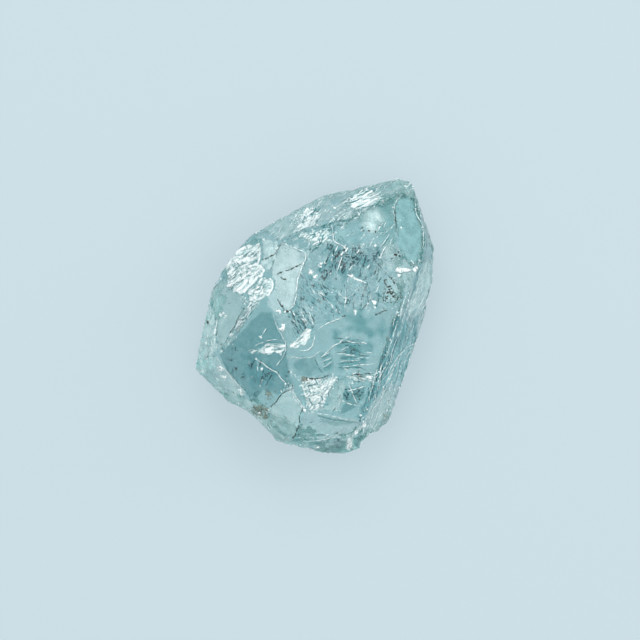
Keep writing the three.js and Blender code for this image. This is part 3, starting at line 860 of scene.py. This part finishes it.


# white lines, how wide in mm and the way they run: real cracks, and painted highlights, thin bright lines
# along facet edges and ribs and a few small bright bars
cracksAndHighlights = [
    (0.11, [(-2.5, 5.45), (-1.5, 5.05), (-0.65, 4.6), (-0.85, 3.95), (-1.25, 2.7), (-1.4, 1.5),
        (-1.55, 0.85), (-2.0, 0.45)]),
    (0.10, [(-0.1, -1.15), (0.35, -0.8), (0.95, -0.45), (1.45, -0.25), (1.9, -0.05), (2.1, 0.1)]),
    (0.10, [(0.45, -2.9), (0.75, -2.7), (1.45, -2.05), (1.8, -1.95), (2.05, -1.7), (2.7, -1.3)]),
    (0.07, [(-1.8, -2.9), (-1.4, -3.0), (-0.6, -3.0), (-0.1, -2.85), (0.4, -2.5)]),
    (0.13, [(2.1, 4.9), (1.9, 4.1), (1.6, 3.25)]),
    (0.08, [(2.25, 2.0), (2.25, 1.2), (2.2, 0.5)]),
    (0.09, [(1.6, 2.1), (1.9, 1.6), (2.2, 1.3)]),
    (0.12, [(5.3, 5.3), (5.0, 4.8), (4.7, 4.2)]),
    (0.08, [(5.5, 6.1), (5.15, 5.6), (4.85, 5.1)]),
    (0.12, [(3.3, 5.0), (3.15, 4.75), (2.95, 4.5)]),
    (0.15, [(-4.3, -3.1), (-3.75, -3.45), (-3.3, -3.8), (-2.75, -4.1), (-2.35, -4.6), (-2.1, -4.8)]),
    (0.10, [(-2.5, -3.2), (-2.8, -3.6)]),
    (0.10, [(-3.55, -0.8), (-3.65, -1.0), (-3.8, -1.25)]),
    (0.08, [(-4.45, -2.15), (-3.8, -1.85), (-3.0, -1.65), (-2.3, -1.75)]),
    (0.10, [(-1.1, -2.45), (-0.5, -2.4), (-0.15, -2.0), (0.0, -1.3)]),
    (0.13, [(7.6, -1.9), (7.0, -2.15), (6.35, -2.7), (5.75, -3.5), (5.4, -4.2), (5.0, -4.6)]),
    (0.11, [(2.4, -4.6), (2.7, -5.4), (3.0, -6.1), (3.35, -6.55)]),
    (0.12, [(2.35, -5.45), (2.85, -5.35), (3.8, -5.05)]),
    (0.12, [(1.95, -6.1), (2.5, -6.4), (3.1, -6.5)]),
    (0.10, [(-1.1, -4.5), (-0.85, -5.25), (-0.6, -6.35), (-0.7, -6.75)]),
    (0.09, [(-1.6, -5.0), (-1.6, -5.5), (-1.3, -5.95), (-0.8, -6.7)]),
    (0.09, [(-0.5, -7.0), (0.8, -7.2), (2.0, -7.5), (3.2, -7.65)]),
    (0.09, [(-0.5, -9.2), (0.6, -9.1), (1.4, -8.9), (2.2, -8.9)]),
    (0.09, [(-3.0, 0.25), (-2.85, -0.4), (-2.4, -1.4), (-2.15, -1.9), (-2.2, -2.6), (-2.5, -3.2)]),
    (0.10, [(7.4, 8.7), (7.5, 7.7), (7.95, 6.7), (8.05, 5.9), (8.0, 5.0)]),
    (0.06, [(6.4, 9.0), (6.0, 8.5), (5.85, 7.9), (5.9, 7.2)]),
    (0.10, [(1.3, 6.6), (1.35, 5.8), (1.5, 5.5), (2.2, 5.15)]),
    (0.08, [(2.4, 3.2), (2.7, 3.7), (3.0, 3.8)]),
    (0.26, [(2.35, 3.1), (3.0, 2.8), (3.75, 2.5)]),
    (0.16, [(7.55, 0.5), (7.9, 1.1), (8.15, 1.7)]),
    (0.12, [(7.7, 0.3), (8.2, 1.0), (8.45, 1.6)]),
    (0.14, [(7.3, 0.9), (7.6, 1.5), (7.75, 2.1)]),
    (0.12, [(5.2, -5.0), (5.6, -4.2), (5.9, -3.5)]),
    (0.65, [(5.9, 3.4), (6.5, 3.45), (7.15, 3.5)]),
    (0.11, [(7.05, 4.2), (7.35, 3.85)]),
    (0.09, [(2.3, -1.7), (3.0, -1.9), (3.65, -1.9), (3.95, -2.15)]),
    (0.07, [(1.95, -2.45), (2.2, -2.3), (2.55, -2.15)]),
    (0.07, [(2.2, -2.8), (2.7, -2.85), (3.1, -2.9)]),
    (0.08, [(1.8, -3.25), (2.7, -3.22), (3.35, -3.15)]),
    (0.08, [(1.95, -3.7), (3.0, -3.55), (4.5, -3.45)]),
    (0.07, [(0.6, -3.7), (0.9, -3.5), (1.3, -3.25)]),
    (0.07, [(0.45, -2.95), (0.7, -2.8), (1.1, -2.6)]),
    (0.07, [(0.55, -3.3), (0.85, -3.15), (1.25, -2.95)]),
    (0.09, [(-8.0, 1.4), (-7.5, 2.2), (-7.0, 2.7)]),
    (0.09, [(-7.2, -2.9), (-6.9, -3.5), (-6.2, -4.4), (-5.15, -5.6)]),
    (0.10, [(4.4, -8.4), (4.0, -7.4), (4.9, -6.0), (5.3, -5.2)]),
    (0.10, [(8.2, 3.8), (7.7, 2.4), (7.2, 0.9), (6.7, -0.4)]),
]
# painted shade: dark teal lines where a crack, a facet edge or a rib turns the light away
shadeLines = [
    (0.12, [(-2.5, 5.3), (-1.3, 6.05), (0.15, 6.55), (1.5, 7.0), (2.4, 7.1), (3.0, 7.4), (3.9, 7.85),
        (4.7, 8.4)]),
    (0.10, [(6.6, 9.05), (7.1, 8.8), (7.5, 8.6)]),
    (0.16, [(6.1, 0.1), (5.6, -1.4), (4.85, -3.3), (4.55, -4.4), (4.0, -5.7), (3.4, -7.2)]),
    (0.12, [(-0.05, -2.9), (0.15, -3.45), (0.35, -3.8), (0.65, -4.2)]),
    (0.12, [(8.35, 5.6), (8.15, 4.7), (7.95, 3.8)]),
    (0.09, [(8.9, 4.7), (8.85, 4.2), (8.7, 3.9)]),
    (0.16, [(5.6, 6.0), (5.25, 5.55), (4.95, 5.1)]),
    (0.12, [(7.3, 5.95), (7.65, 5.8), (8.05, 5.9)]),
    (0.10, [(-7.85, 0.9), (-7.45, 0.5), (-7.4, -0.2), (-7.3, -1.2), (-7.2, -2.2)]),
    (0.07, [(-2.75, 4.8), (-3.0, 4.1), (-3.3, 3.4)]),
    (0.16, [(1.95, -1.95), (2.3, -1.8), (2.7, -1.5)]),
    (0.30, [(2.2, -2.1), (2.8, -2.2), (3.4, -2.7)]),
    (0.18, [(1.95, -2.65), (2.2, -2.6), (2.5, -2.6)]),
    (0.20, [(1.9, -3.05), (2.4, -2.98), (3.1, -3.0)]),
    (0.22, [(1.7, -3.45), (2.2, -3.38), (2.9, -3.35)]),
    (0.13, [(1.85, -3.9), (2.6, -3.75), (3.5, -3.75)]),
    (0.14, [(0.5, -3.05), (0.8, -2.9), (1.15, -2.75)]),
    (0.15, [(0.6, -3.4), (0.9, -3.25), (1.25, -3.1)]),
    (0.13, [(0.7, -3.85), (0.95, -3.7), (1.3, -3.5)]),
    (0.12, [(-6.9, -3.1), (-6.2, -4.2), (-5.2, -5.4)]),
    (0.10, [(-5.6, -6.3), (-4.9, -6.8), (-4.2, -7.4)]),
    (0.10, [(-3.0, -8.7), (-2.2, -9.0), (-1.5, -9.15), (-0.4, -9.05)]),
    (0.16, [(0.2, -7.3), (1.4, -7.6), (3.1, -7.85)]),
    (0.10, [(-1.05, 2.4), (-0.6, 2.0), (-0.3, 1.6)]),
    (0.22, [(6.65, -3.7), (6.5, -4.1), (6.4, -4.55)]),
    (0.10, [(6.6, 0.0), (6.95, -0.9), (7.0, -1.8)]),
]
# iron-stained fissures
fissures = [
    (0.13, [(-1.65, -4.95), (-1.7, -5.3), (-2.2, -5.5), (-2.6, -5.9), (-3.2, -6.65)]),
    (0.13, [(-0.9, -6.8), (-1.1, -7.3), (-1.15, -7.9), (-1.4, -8.6), (-1.6, -9.1)]),
    (0.11, [(-2.85, 3.1), (-2.45, 3.25), (-1.9, 3.45), (-1.45, 3.65), (-0.9, 3.9)]),
    (0.10, [(-3.8, 4.2), (-3.0, 4.55), (-2.7, 4.95), (-2.5, 5.3)]),
    (0.10, [(-2.45, 2.85), (-2.3, 2.75), (-2.1, 2.75)]),
    (0.15, [(4.45, 0.15), (4.8, 0.32), (5.25, 0.5)]),
    (0.09, [(5.9, 8.0), (5.95, 7.3), (6.05, 6.5)]),
    (0.10, [(-2.75, 1.3), (-2.4, 0.8), (-2.2, 0.5)]),
    (0.13, [(-1.0, -4.45), (-0.3, -4.5), (0.4, -4.5), (0.9, -4.3), (1.2, -4.25)]),
    (0.09, [(2.6, -4.3), (3.3, -4.2), (4.3, -4.2)]),
    (0.08, [(-5.3, 0.4), (-5.7, -0.3), (-6.2, -1.2)]),
]
# how many strokes in each place: dark, white; which way they run and how far that varies in degrees;
# how long and how wide in mm
strokes = {
    "rain": (80, 12, -52, 14, 0.60, 0.09),
    "rainLow": (38, 5, -58, 10, 0.80, 0.11),
    "middle": (40, 18, 72, 30, 0.45, 0.08),
    "darkBand": (50, 8, 65, 30, 0.45, 0.13),
    "highBand": (16, 30, 50, 20, 0.55, 0.08),
    "topSide": (45, 95, 42, 12, 0.80, 0.10),
    "topLeftFrost": (10, 16, 52, 12, 0.80, 0.12),
    "crackle": (14, 22, 40, 60, 0.50, 0.13),
    "topFrost": (8, 12, 26, 10, 1.00, 0.14),
    "lowFrost": (9, 70, 50, 70, 0.60, 0.12),
    "lowFrostRight": (6, 14, -40, 40, 0.40, 0.12),
    "lowGrey": (8, 12, 75, 25, 0.50, 0.09),
    "sideFace": (40, 44, 72, 5, 1.60, 0.12),
    "sideDark": (30, 6, 72, 4, 1.60, 0.10),
    "leftStrip": (44, 44, 78, 14, 0.80, 0.12),
    "bruisedRidge": (16, 40, 52, 14, 0.50, 0.10),
    "greyFacet": (4, 10, -45, 30, 0.40, 0.09),
    "lowMiddle": (10, 10, 30, 40, 0.40, 0.07),
    "lowPale": (6, 6, -55, 10, 0.50, 0.06),
    "endShade": (6, 6, 10, 30, 0.40, 0.08),
    "lowEdge": (14, 20, -50, 14, 0.60, 0.09),
    "frostedLobe": (30, 10, -55, 10, 0.30, 0.05),
    "deepShade": (10, 4, 70, 30, 0.40, 0.10),
    "ribsRight": (8, 8, -5, 12, 0.70, 0.08),
}
strokeLook = {
    "seed": 11,
    "length": (0.3, 0.8),  # shares of the length, each way from the middle
    "width": (0.5, 1.1),  # shares of the width
    "bend": 0.2,  # share of the length
    "depth": -0.02,  # mm, of the dark ones, which lie in the clear stone
    "onFrost": 0.09,  # mm, of the dark ones on a frosted patch
    "whiteHeight": 0.055,  # mm
    "whiteWidth": 0.85,  # a share too
    # in these places the dark strokes take the darker coat, painted shade like the dark tints of these faces
    "darkestIn": ("darkBand", "middle", "deepShade", "ribsRight"),
    "noneIn": ("topShade", "topDark", "topSmooth", "smoothRight"),
}
# x, y and radius of painted highlights, bright glints of the light, in mm
glints = [
    (0.45, 3.8, 0.16), (-0.25, 3.25, 0.20), (0.05, 2.95, 0.15), (0.75, 3.95, 0.08), (6.2, 3.05, 0.14),
    (7.4, 3.4, 0.22), (7.5, 3.55, 0.18), (-2.4, -0.85, 0.20), (-2.35, -0.6, 0.12), (-2.6, 0.4, 0.16),
    (-2.2, 0.35, 0.10), (-7.0, -3.8, 0.20), (-6.9, -3.95, 0.14), (-6.8, -4.45, 0.16), (-6.65, -4.4, 0.14),
    (-5.5, -5.55, 0.22), (-8.3, -4.1, 0.12), (-3.95, -1.45, 0.12), (-4.3, -3.1, 0.10), (-3.9, -3.8, 0.12),
    (3.0, 0.45, 0.14), (4.3, 1.05, 0.16), (6.9, 1.2, 0.10), (4.45, 5.25, 0.10), (-6.95, 0.15, 0.14),
    (-6.75, 0.25, 0.12), (-6.6, 0.05, 0.12), (2.75, 3.0, 0.18), (3.0, 0.2, 0.10), (1.5, 8.0, 0.14),
    (-0.7, -6.9, 0.16), (-0.85, -6.6, 0.10), (3.6, -7.8, 0.14), (-1.5, 0.9, 0.12), (2.2, 5.15, 0.10),
    (4.0, -4.45, 0.20), (4.1, -4.6, 0.14), (-4.05, -7.1, 0.12), (0.2, -9.7, 0.12), (-1.2, -9.9, 0.12),
]
# x, y and reach of dark teal smudges, in mm
smudges = [
    (1.6, 4.45, 0.30), (2.3, 4.35, 0.34), (2.9, 4.25, 0.30), (3.4, 4.65, 0.34), (4.5, 4.2, 0.24),
    (2.0, 4.1, 0.26), (1.9, 5.85, 0.24), (1.05, 5.25, 0.26), (1.0, 3.2, 0.34), (0.6, 2.9, 0.24),
    (3.4, 1.85, 0.40), (3.7, 2.0, 0.24), (2.6, 1.2, 0.24), (-4.7, -3.6, 0.24), (-3.3, -4.2, 0.34),
    (-3.8, -4.5, 0.24), (2.9, -2.4, 0.34), (2.4, -5.9, 0.40), (3.1, -5.7, 0.34), (1.7, -9.4, 0.40),
    (2.1, -9.6, 0.30), (6.0, -0.5, 0.30), (-0.9, 1.4, 0.24), (-6.3, -3.1, 0.26), (-5.9, -2.4, 0.20),
    (-5.3, -4.5, 0.26), (-6.0, -3.9, 0.22), (0.6, 1.3, 0.30), (-8.1, -2.1, 0.24), (-7.9, -1.6, 0.20),
]
# x, y and radius of dark grains, in mm
grains = [
    (-2.35, 0.75, 0.09), (-2.0, 0.4, 0.12), (-2.25, 0.45, 0.06), (-5.15, 0.6, 0.10), (-7.95, -0.4, 0.13),
    (-2.45, 3.25, 0.09), (2.05, 0.05, 0.10), (2.2, 0.1, 0.08), (4.5, 6.3, 0.08), (4.8, 6.75, 0.08),
    (4.0, 6.35, 0.09), (3.6, 6.35, 0.06), (3.5, 6.6, 0.06), (1.65, -8.6, 0.08), (-0.35, -9.8, 0.11),
    (-5.8, -3.8, 0.10), (5.8, 8.1, 0.05), (6.0, 4.55, 0.14), (6.15, 4.75, 0.10), (6.25, 4.45, 0.10),
    (5.7, 4.3, 0.06), (4.5, 0.18, 0.09), (-1.2, -8.1, 0.05), (-4.1, 3.0, 0.06), (-2.2, -7.3, 0.05),
    (-2.4, -7.5, 0.04), (2.6, -9.7, 0.07), (2.8, -9.9, 0.07), (2.45, -9.4, 0.05), (3.5, -3.1, 0.06),
    (3.4, 0.0, 0.05), (-6.0, -5.6, 0.06), (-1.65, -5.0, 0.07), (-1.2, -8.7, 0.08), (-3.2, -6.6, 0.09),
    (-0.2, -9.4, 0.05), (6.9, 7.9, 0.04), (7.15, 7.8, 0.04), (-6.3, 1.0, 0.05),
]
# stained patches: x, y, reach in mm and how many grains
mottles = [(-3.95, -7.0, 0.50, 60), (-4.3, -6.75, 0.30, 20), (-3.35, -5.75, 0.40, 16), (-0.8, -4.6, 0.22, 14),
           (3.4, -4.3, 0.30, 10), (5.3, -7.4, 0.40, 8)]


# how each kind of spot is made of flakes: how many, their spread and size in radii, and their height in mm
spotLooks = {
    "glint": (5, 0.8, 0.95, 0.055),
    "smudge": (26, 1.3, 0.24, -0.02),
    "grain": (2, 0.4, 1, 0.07),
}
specks = {"count": 100, "reach": 0.02, "size": (0.03, 0.10), "height": 0.06}  # mm, in the speckle patch
beads = {"count": 14, "reach": 0.02, "size": (0.03, 0.08), "height": 0.08}  # mm, along each fissure
mottleSizes = {"brown": (0.16, 0.05), "black": (0.06, 0.08)}  # mm, size and height
blackShare = 3  # one black grain to so many brown ones

# the broken coats: the darkest and palest colour, the noise at which the coat starts and is whole, roughness
coatLooks = {
    # the white crack coat also paints the highlights and glints, the dark teal coat the painted shade lines,
    # and the stroke teal coat the painted crack shadows
    "crackAndHighlightWhite": ((0.72, 0.86, 0.86), (1.0, 1.0, 1.0), 0.34, 0.56, 0.35),
    "crackPale": ((0.54, 0.72, 0.72), (0.94, 0.98, 0.98), 0.38, 0.64, 0.35),
    "strokeAndShadowTeal": ((0.02, 0.20, 0.23), (0.07, 0.34, 0.38), 0.42, 0.68, 0.35),
    "shadeAndBruiseTeal": ((0.03, 0.15, 0.16), (0.09, 0.27, 0.28), 0.38, 0.56, 0.35),
    "deepTeal": ((0.008, 0.10, 0.12), (0.03, 0.22, 0.25), 0.38, 0.56, 0.35),
    "ironStain": ((0.006, 0.010, 0.008), (0.05, 0.05, 0.03), 0.42, 0.49, 0.7),
    "darkGrain": ((0.008, 0.010, 0.008), (0.05, 0.04, 0.02), -1, 0, 0.7),
    "mottle": ((0.17, 0.24, 0.20), (0.36, 0.43, 0.37), 0.40, 0.70, 0.7),
}


def spotMaterial(name, dark, light, low, high, roughness):
    # where the noise falls under the low mark the coat is clear
    material, w = newMaterial(name)
    point = objectPoint(w)
    patches = noisePattern(w, point, scale=4.0, roughness=0.6)
    shader = w.add("ShaderNodeBsdfPrincipled", {}, {
        "Base Color": blend(w, noisePattern(w, point, scale=7.0), dark, light), "Roughness": roughness,
        "Alpha": ramp(w, patches, low, high)})
    w.add("ShaderNodeOutputMaterial", {}, {"Surface": shader})
    return material


coats = {name: spotMaterial(name, *look) for name, look in coatLooks.items()}

# each piece of lines, with its coat and its height above the surface in mm
lineMarks = {
    "whiteCracksAndHighlights": (cracksAndHighlights, "crackAndHighlightWhite", 0.07),
    "crackShadeLines": (shadeLines, "shadeAndBruiseTeal", 0.012),
    "stainedFissures": (fissures, "ironStain", 0.07),
}
lineWidth = 0.55  # share of a line's width that is drawn
shadow = {"offset": (0.07, -0.05), "width": 0.6, "height": -0.02}  # mm, share of the crack's width, mm


def makeLines(surfaceAt):
    shadows = bmesh.new()
    dx, dy = shadow["offset"]
    for i, (width, corners) in enumerate(cracksAndHighlights):
        beside = [(x + dx, y + dy) for x, y in corners]
        addRibbon(shadows, surfaceAt, beside, width * shadow["width"], shadow["height"], i)
    finishPiece(shadows, "crackShadows", coats["strokeAndShadowTeal"])
    for name, (lines, coat, height) in lineMarks.items():
        bm = bmesh.new()
        for i, (width, corners) in enumerate(lines):
            addRibbon(bm, surfaceAt, corners, width * lineWidth, height, i)
        finishPiece(bm, name, coats[coat])
        print(name, "made:", len(lines))


def makeStrokes(surfaceAt):
    look = strokeLook
    draw = Random(look["seed"])
    dark, deep, white = bmesh.new(), bmesh.new(), bmesh.new()
    for name, (darkCount, whiteCount, angle, spread, length, width) in strokes.items():
        target = deep if name in look["darkestIn"] else dark
        darkHeight = look["onFrost"] if name in frosted else look["depth"]
        for i in range(darkCount + whiteCount):
            x, y = randomInside(draw, outlines[name])
            if any(isInside((x, y), outlines[calm]) for calm in look["noneIn"]):
                continue
            turn = radians(angle + draw.uniform(-spread, spread))
            half = length * draw.uniform(*look["length"])
            dx, dy, bend = half * cos(turn), half * sin(turn), draw.uniform(-look["bend"], look["bend"])
            corners = [(x - dx, y - dy), (x - dy * bend, y + dx * bend), (x + dx, y + dy)]
            wide = width * draw.uniform(*look["width"])
            if i < darkCount:
                addRibbon(target, surfaceAt, corners, wide, darkHeight, i)
            else:
                addRibbon(white, surfaceAt, corners, wide * look["whiteWidth"], look["whiteHeight"], i)
    finishPiece(dark, "darkStrokes", coats["strokeAndShadowTeal"])
    finishPiece(deep, "deepStrokes", coats["deepTeal"])
    finishPiece(white, "whiteStrokes", coats["crackPale"])
    print("strokes made")


def scatterFlakes(bm, draw, surfaceAt, x, y, reach, count, size, height):
    for _ in range(count):
        spot, normal = surfaceAt(x + draw.gauss(0, reach * 0.45), y + draw.gauss(0, reach * 0.45))
        if spot:
            addFlake(bm, draw, spot + normal * height * mm, normal, size * draw.uniform(0.5, 1.3))


def scatterSpots(bm, draw, surfaceAt, places, look):
    count, spread, size, height = look
    for x, y, radius in places:
        scatterFlakes(bm, draw, surfaceAt, x, y, radius * spread, count, radius * size, height)


def scatterOne(bm, draw, surfaceAt, x, y, look):
    # one flake of a random size
    size = draw.uniform(*look["size"])
    scatterFlakes(bm, draw, surfaceAt, x, y, look["reach"], 1, size, look["height"])


def makeGrains(surfaceAt):
    draw = Random(5)
    white, teal, black, brown = bmesh.new(), bmesh.new(), bmesh.new(), bmesh.new()
    scatterSpots(white, draw, surfaceAt, glints, spotLooks["glint"])
    scatterSpots(teal, draw, surfaceAt, smudges, spotLooks["smudge"])
    scatterSpots(black, draw, surfaceAt, grains, spotLooks["grain"])
    for _ in range(specks["count"]):
        x, y = randomInside(draw, outlines["specklePatch"])
        scatterOne(black, draw, surfaceAt, x, y, specks)
    for _, corners in fissures:
        line = smoothLine(corners, spacing=0.05, wander=0.1)
        for _ in range(beads["count"]):
            x, y = draw.choice(line)
            scatterOne(black, draw, surfaceAt, x, y, beads)
    for x, y, reach, count in mottles:
        scatterFlakes(brown, draw, surfaceAt, x, y, reach, count, *mottleSizes["brown"])
        scatterFlakes(black, draw, surfaceAt, x, y, reach, count // blackShare, *mottleSizes["black"])
    finishPiece(white, "glints", coats["crackAndHighlightWhite"])
    finishPiece(teal, "tealSmudges", coats["deepTeal"])
    finishPiece(black, "darkGrains", coats["darkGrain"])
    finishPiece(brown, "brownMottle", coats["mottle"])
    print("grains made")


# tiny bruises along the sharp edges: real chips, the white ones partly painted highlight where an edge
# catches the light and the teal ones partly painted shade
bruise = {
    "seed": 31,
    "perMm": 9,  # on an edge of the upper side
    "perMmBelow": 4,
    "upperFrom": 0.1,  # how far up a face looks that is on the upper side
    "bareBelow": -0.1,  # noise under which a stretch of edge has none
    "whiteShare": 0.75,
    "whiteHeight": 0.04,  # mm
    "tealHeight": -0.03,  # mm
    "reach": 0.25,  # mm
    "size": (0.03, 0.11),  # mm
    "sizeBelow": (0.04, 0.14),  # mm
}


def makeEdgeChips(surfaceAt, source):
    tree = BVHTree.FromBMesh(source)
    draw = Random(bruise["seed"])
    white, teal = bmesh.new(), bmesh.new()
    cad = cadMesh()
    for edge in cad.edges:
        if len(edge.link_faces) != 2 or edge.calc_face_angle() < radians(stone["sharp"]):
            continue
        a, b = (v.co for v in edge.verts)
        length = (b - a).length / mm
        if max(f.normal.z for f in edge.link_faces) < bruise["upperFrom"]:
            for _ in range(int(length * bruise["perMmBelow"])):
                spot, normal = tree.find_nearest(a.lerp(b, draw.random()))[:2]
                addFlake(white, draw, spot, normal, draw.uniform(*bruise["sizeBelow"]))
            continue
        for _ in range(int(length * bruise["perMm"] * draw.uniform(0.3, 1.2))):
            place = a.lerp(b, draw.random()) / mm
            if noise.noise(place * 0.9) < bruise["bareBelow"]:
                continue
            isWhite = draw.random() < bruise["whiteShare"]
            target, height = (white, bruise["whiteHeight"]) if isWhite else (teal, bruise["tealHeight"])
            size = draw.uniform(*bruise["size"])
            scatterFlakes(target, draw, surfaceAt, place.x, place.y, bruise["reach"], 1, size, height)
    finishPiece(white, "whiteBruisesAndHighlights", coats["crackAndHighlightWhite"])
    finishPiece(teal, "tealBruisesAndShade", coats["shadeAndBruiseTeal"])
    cad.free()
    print("edge bruises made")


# the floor, the lights and the camera
studio = {
    "floorRadius": 0.9,  # metres
    "floorGap": 0.02,  # mm under the stone
    "floorColour": (0.17, 0.197, 0.209, 1),
    "floorGlow": (0.377, 0.458, 0.503, 1),  # the floor is a dim light table
    # each light's place and size in mm, and its power
    "lights": {
        "softbox": ((-20, 140, 190), (110, 110), 0.14),
        "sideBox": ((170, 60, 120), (80, 120), 0.07),
    },
    "skyStrength": 1.3,
    "sky": [  # from the horizon up
        (0.0, (0.45, 0.545, 0.575)), (0.10, (0.50, 0.60, 0.64)), (0.30, (0.24, 0.31, 0.32)),
        (0.50, (0.38, 0.44, 0.45)), (0.75, (0.70, 0.73, 0.73)), (0.86, (1.10, 1.10, 1.10)),
        (0.94, (1.80, 1.80, 1.80)), (1.0, (1.90, 1.90, 1.90))],
    "lens": 300,
    "frameWidth": 47.7,  # mm across the picture at the stone's outline
    "outlineHeight": 5.2,  # mm above the floor
    "aim": (0.39, -0.23),  # mm, the picture's middle on the stone
}


def makeFloor():
    bm = bmesh.new()
    bmesh.ops.create_circle(bm, cap_ends=True, segments=96, radius=studio["floorRadius"])
    bmesh.ops.translate(bm, verts=bm.verts, vec=(0, 0, boxLow.z - studio["floorGap"] * mm))
    mesh = bpy.data.meshes.new("floor")
    bm.to_mesh(mesh)
    bm.free()
    floor = bpy.data.objects.new("floor", mesh)
    bpy.context.collection.objects.link(floor)
    material, w = newMaterial("paleFloor")
    shader = w.add("ShaderNodeBsdfPrincipled", {}, {
        "Base Color": studio["floorColour"], "Roughness": 0.9, "Specular IOR Level": 0.1,
        "Emission Color": studio["floorGlow"], "Emission Strength": 1.0})
    w.add("ShaderNodeOutputMaterial", {}, {"Surface": shader})
    mesh.materials.append(material)


def makeLight(name, place, size, power):
    light = bpy.data.lights.new(name, "AREA")
    light.shape = "RECTANGLE"
    light.size, light.size_y = (side * mm for side in size)
    light.energy = power
    lamp = bpy.data.objects.new(name, light)
    lamp.location = Vector(place) * mm
    lamp.rotation_euler = (-lamp.location).to_track_quat("-Z", "Y").to_euler()
    bpy.context.collection.objects.link(lamp)


def makeWorld():
    world = bpy.data.worlds.new("studio")
    world.use_nodes = True
    world.node_tree.nodes.clear()
    w = Wire(world.node_tree)
    direction = w.add("ShaderNodeTexCoord", out="Generated")
    height = w.add("ShaderNodeSeparateXYZ", {}, {"Vector": direction}, out="Z")
    colour = w.add("ShaderNodeValToRGB", {"stops": studio["sky"]}, {"Fac": height})
    sky = w.add("ShaderNodeBackground", {}, {"Color": colour, "Strength": studio["skyStrength"]})
    w.add("ShaderNodeOutputWorld", {}, {"Surface": sky})
    bpy.context.scene.world = world


def makeCamera():
    data = bpy.data.cameras.new("camera")
    data.lens = studio["lens"]
    data.sensor_width = 36
    distance = studio["frameWidth"] * data.lens / data.sensor_width
    camera = bpy.data.objects.new("camera", data)
    x, y = studio["aim"]
    camera.location = Vector((x, y, studio["outlineHeight"] + distance)) * mm
    bpy.context.collection.objects.link(camera)
    scene = bpy.context.scene
    scene.camera = camera
    scene.view_settings.view_transform = "Standard"
    scene.cycles.max_bounces = 24
    scene.cycles.glossy_bounces = 16
    scene.cycles.transmission_bounces = 20
    scene.cycles.transparent_max_bounces = 16


piece, stoneShape = makeStone()
piece.data.materials.append(crystalMaterial())
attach(piece, "root")
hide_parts("crystal")
makeFrost(stoneShape)
surfaceAt = makeProbe(stoneShape)
makeLines(surfaceAt)
makeStrokes(surfaceAt)
makeGrains(surfaceAt)
makeEdgeChips(surfaceAt, stoneShape)
makeFloor()
for name, look in studio["lights"].items():
    makeLight(name, *look)
makeWorld()
makeCamera()
print("studio: floor, lights and camera")
